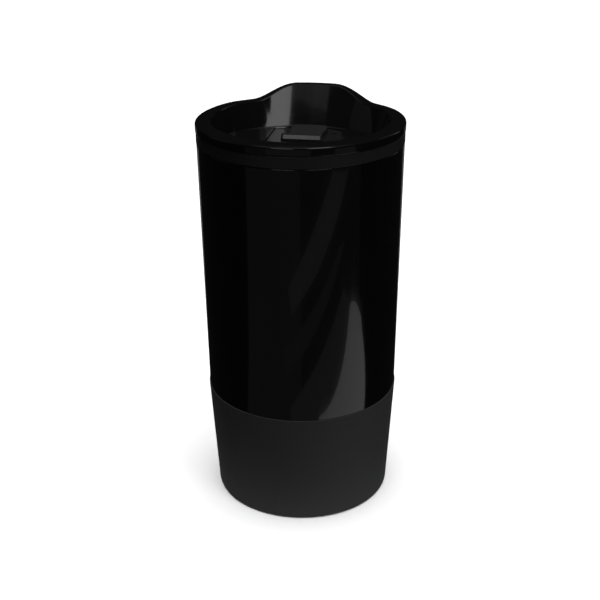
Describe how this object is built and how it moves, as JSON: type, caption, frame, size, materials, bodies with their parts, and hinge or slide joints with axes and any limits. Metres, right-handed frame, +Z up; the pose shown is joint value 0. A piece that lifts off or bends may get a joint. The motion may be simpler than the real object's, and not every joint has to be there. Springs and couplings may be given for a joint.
{
  "type": "insulated tumbler",
  "caption": "Insulated drinking tumbler: painted shell, plastic liner, rubber grip sleeve and a press-in lid whose slider opens the sip hole.",
  "frame": {"origin": "on the tumbler's axis, at the bottom of the foot", "axes": "+Z up the tumbler's axis, +Y towards the raised sip side of the lid"},
  "size_m": [0.0866, 0.0866, 0.1751],
  "materials": {
    "shell_paint": "gloss black lacquer on stainless steel",
    "liner_plastic": "black moulded polypropylene",
    "collar_plastic": "satin black moulded polypropylene",
    "clear_silicone": "translucent moulded silicone",
    "base_plastic": "black moulded polypropylene",
    "grip_rubber": "matte charcoal rubber",
    "lid_plastic": "gloss black moulded plastic",
    "gasket_silicone": "dark moulded silicone",
    "slider_plastic": "gloss black moulded plastic",
    "clip_plastic": "black moulded acetal"
  },
  "bodies": {
    "tumbler": {"outer_shell": "shell_paint", "inner_liner": "liner_plastic", "rim_collar": "collar_plastic", "collar_seal": "clear_silicone", "base_cup": "base_plastic", "base_seal": "clear_silicone", "liner_pad": "clear_silicone", "grip_sleeve": "grip_rubber"},
    "gasket": {"lid_gasket": "gasket_silicone"},
    "lid": {"lid_body": "lid_plastic"},
    "slider": {"slider": "slider_plastic", "slider_seal": "gasket_silicone", "slider_clip": "clip_plastic"}
  },
  "joints": [
    {"name": "lid_lift", "type": "slide", "parent": "tumbler", "child": "gasket", "axis": [0, 0, 1], "range_m": [0, 0.06]},
    {"name": "lid_turn", "type": "hinge", "parent": "gasket", "child": "lid", "pos_m": [0, 0, 0.1621], "axis": [0, 0, 1], "continuous": true},
    {"name": "slider_slide", "type": "slide", "parent": "lid", "child": "slider", "axis": [0, -1, 0], "range_m": [0, 0.0135]}
  ]
}
